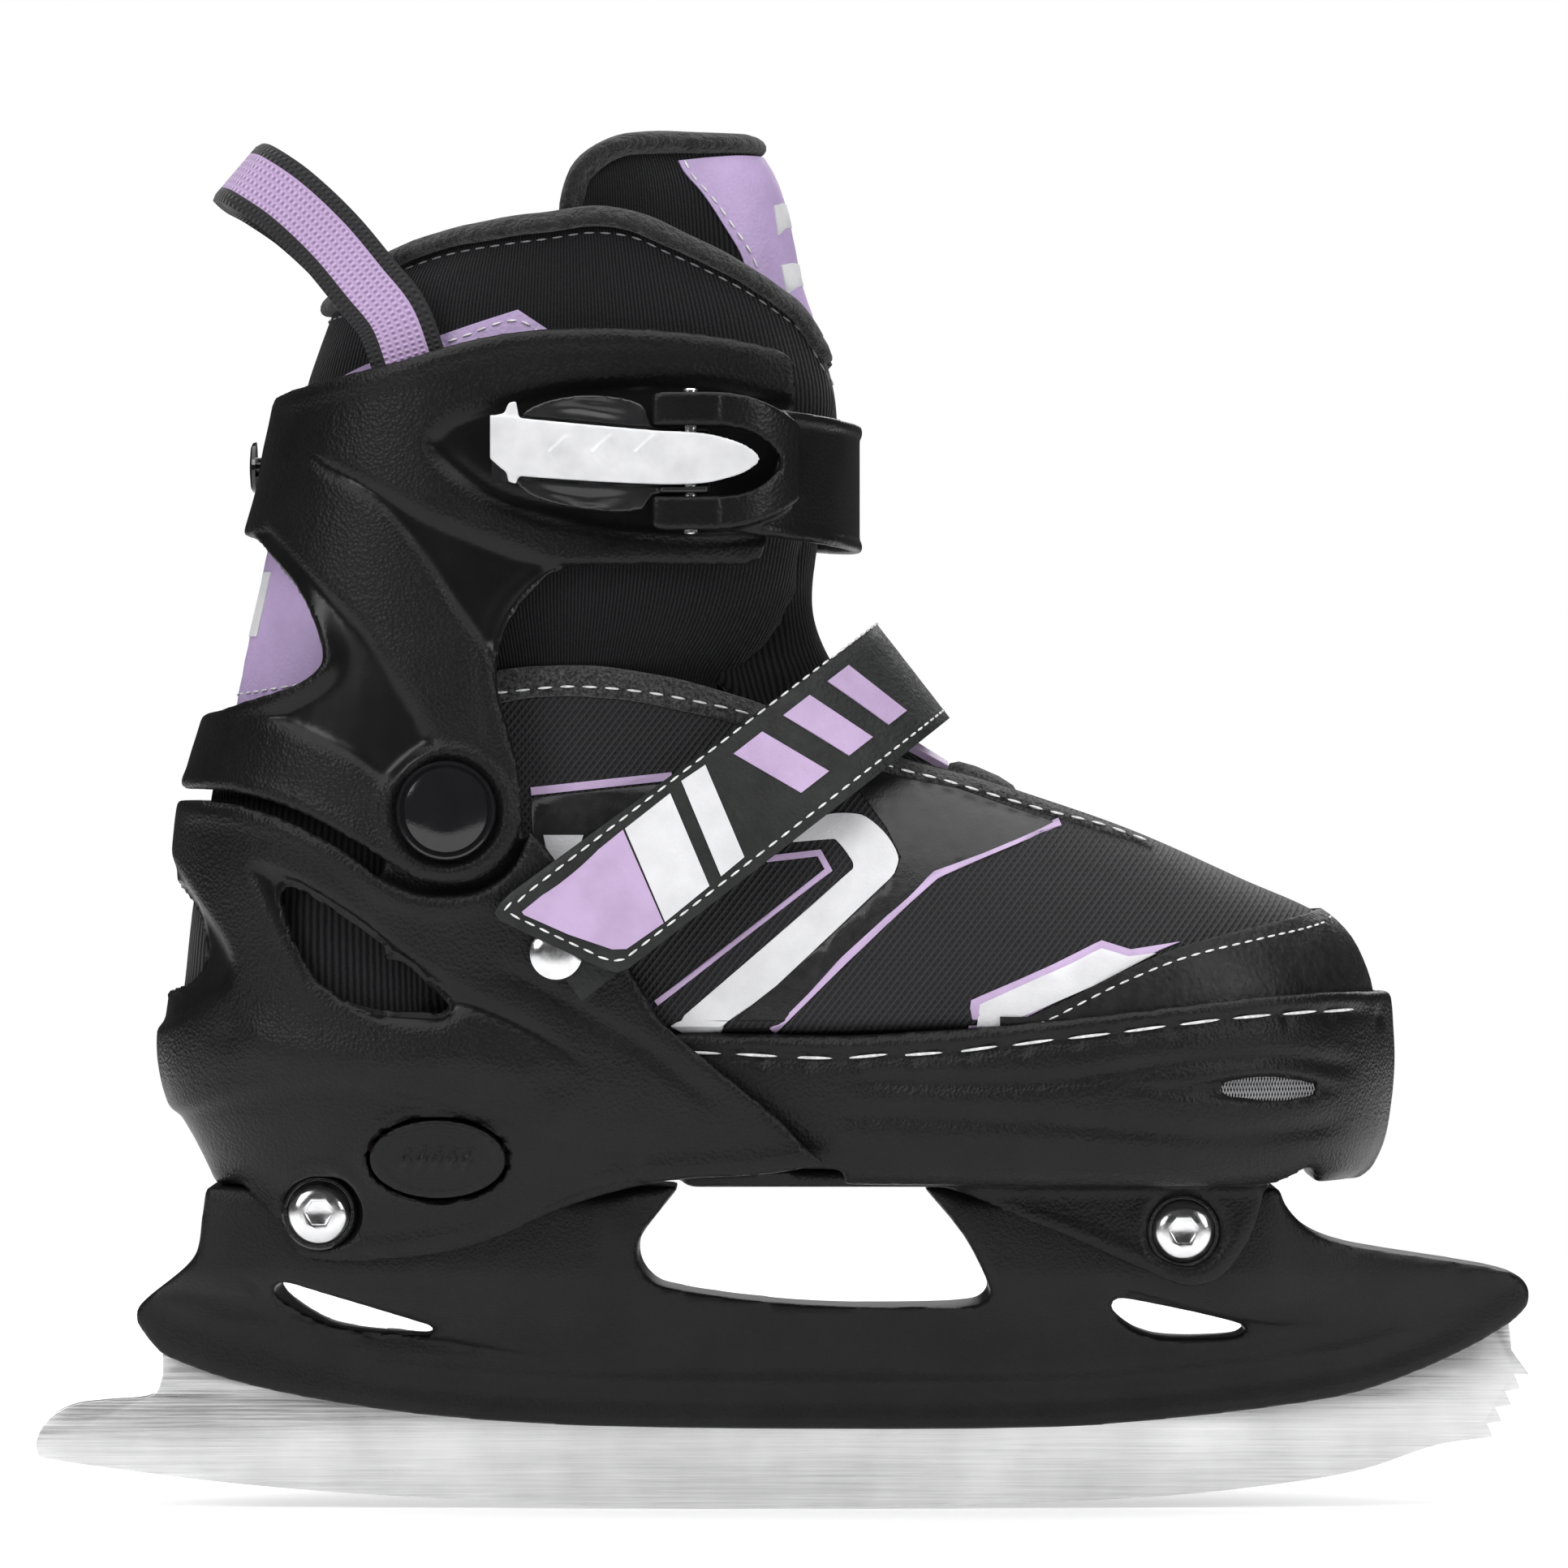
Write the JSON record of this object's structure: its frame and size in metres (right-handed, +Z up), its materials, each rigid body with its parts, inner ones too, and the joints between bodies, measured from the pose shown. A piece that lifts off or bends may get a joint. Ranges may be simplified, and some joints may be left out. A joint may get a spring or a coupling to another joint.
{
  "type": "ice skate",
  "caption": "Adjustable children's ice skate with hinged cuff, sliding toe shell, ratchet ankle buckle, instep strap and toe-pick blade in a windowed holder.",
  "frame": {"origin": "lowest flat of the blade's running edge, in the blade's middle plane", "axes": "+X towards the toe, -Y towards the outer side of the foot, +Z up"},
  "size_m": [0.3032, 0.1025, 0.277],
  "materials": {
    "black_shell": "satin moulded, fine grain",
    "gloss_black": "polished",
    "holder_plastic": "satin moulded",
    "blade_steel": "ground lengthwise",
    "bolt_chrome": "plated",
    "sleeve_aluminium": "turned",
    "white_trigger": "glossy white",
    "black_knit": "padded fine knit",
    "black_mesh_cloth": "woven twill mesh",
    "black_leather": "smooth synthetic leather",
    "strap_leather": "matt synthetic leather",
    "lilac_patch": "satin synthetic leather",
    "lilac_webbing": "ribbed webbing with black edges",
    "grey_foam": "foam",
    "board_fibre": "pressed fibre",
    "vent_mesh": "fine woven mesh"
  },
  "bodies": {
    "chassis": {"blade": "blade_steel", "blade_holder": "holder_plastic", "base_shell": "black_shell", "rear_bolt": "bolt_chrome", "front_bolt": "bolt_chrome", "rear_nut": "bolt_chrome", "front_nut": "bolt_chrome", "rear_bush": "sleeve_aluminium", "front_bush": "sleeve_aluminium", "button_spring": "bolt_chrome", "heel_pad": "grey_foam", "footbed_board": "board_fibre", "insole": "grey_foam", "liner_foot": "black_knit", "tongue_lower": "black_knit", "quarter": "black_mesh_cloth", "pivot_rivet_lateral": "bolt_chrome", "pivot_rivet_medial": "bolt_chrome", "pivot_cap_lateral": "gloss_black", "pivot_cap_medial": "gloss_black", "instep_strap": "strap_leather", "strap_landing": "strap_leather", "strap_rivet_lateral": "bolt_chrome", "strap_rivet_medial": "bolt_chrome"},
    "toe": {"toe_shell": "black_shell", "adjuster_rail": "black_shell", "vent_mesh_lateral": "vent_mesh", "vent_mesh_medial": "vent_mesh", "vamp": "black_mesh_cloth", "toe_cap": "black_leather"},
    "cuff": {"cuff": "black_shell", "cuff_rear_stud": "gloss_black", "liner_shaft": "black_knit", "tongue_upper": "black_knit", "heel_patch": "lilac_patch", "collar_patch_lateral": "lilac_patch", "collar_patch_medial": "lilac_patch", "pull_loop": "lilac_webbing", "buckle_catch": "black_shell", "catch_rivet": "bolt_chrome", "strap_root": "black_shell", "strap_anchor_rivet": "bolt_chrome"},
    "ankle_strap": {"ankle_strap": "black_shell", "lever_pin": "bolt_chrome"},
    "lever": {"lever": "black_shell", "trigger_spring": "bolt_chrome"},
    "trigger": {"trigger": "white_trigger", "trigger_pin": "bolt_chrome"},
    "size_button": {"size_button": "black_shell"}
  },
  "joints": [
    {"name": "cuff_pivot", "type": "hinge", "parent": "chassis", "child": "cuff", "pos_m": [-0.067, 0, 0.1419], "axis": [0, 1, 0], "range_deg": [-1.5, 10], "stiffness_Nm_per_rad": 2},
    {"name": "toe_slide", "type": "slide", "parent": "chassis", "child": "toe", "axis": [1, 0, 0], "range_m": [0, 0.02]},
    {"name": "size_button_press", "type": "slide", "parent": "chassis", "child": "size_button", "axis": [0, 1, 0], "range_m": [0, 0.0025], "stiffness_N_per_m": 600, "deforming": ["button_spring"]},
    {"name": "strap_swing", "type": "hinge", "parent": "cuff", "child": "ankle_strap", "pos_m": [-0.01, 0.0444, 0.209], "axis": [0, 0, 1], "range_deg": [0, 38]},
    {"name": "lever_open", "type": "hinge", "parent": "ankle_strap", "child": "lever", "pos_m": [-0.0185, -0.0489, 0.2115], "axis": [0, 0, 1], "range_deg": [0, 60]},
    {"name": "trigger_pull", "type": "hinge", "parent": "lever", "child": "trigger", "pos_m": [-0.012, -0.0516, 0.2112], "axis": [0, 0, 1], "range_deg": [0, 8], "stiffness_Nm_per_rad": 0.05, "deforming": ["trigger_spring"]}
  ]
}
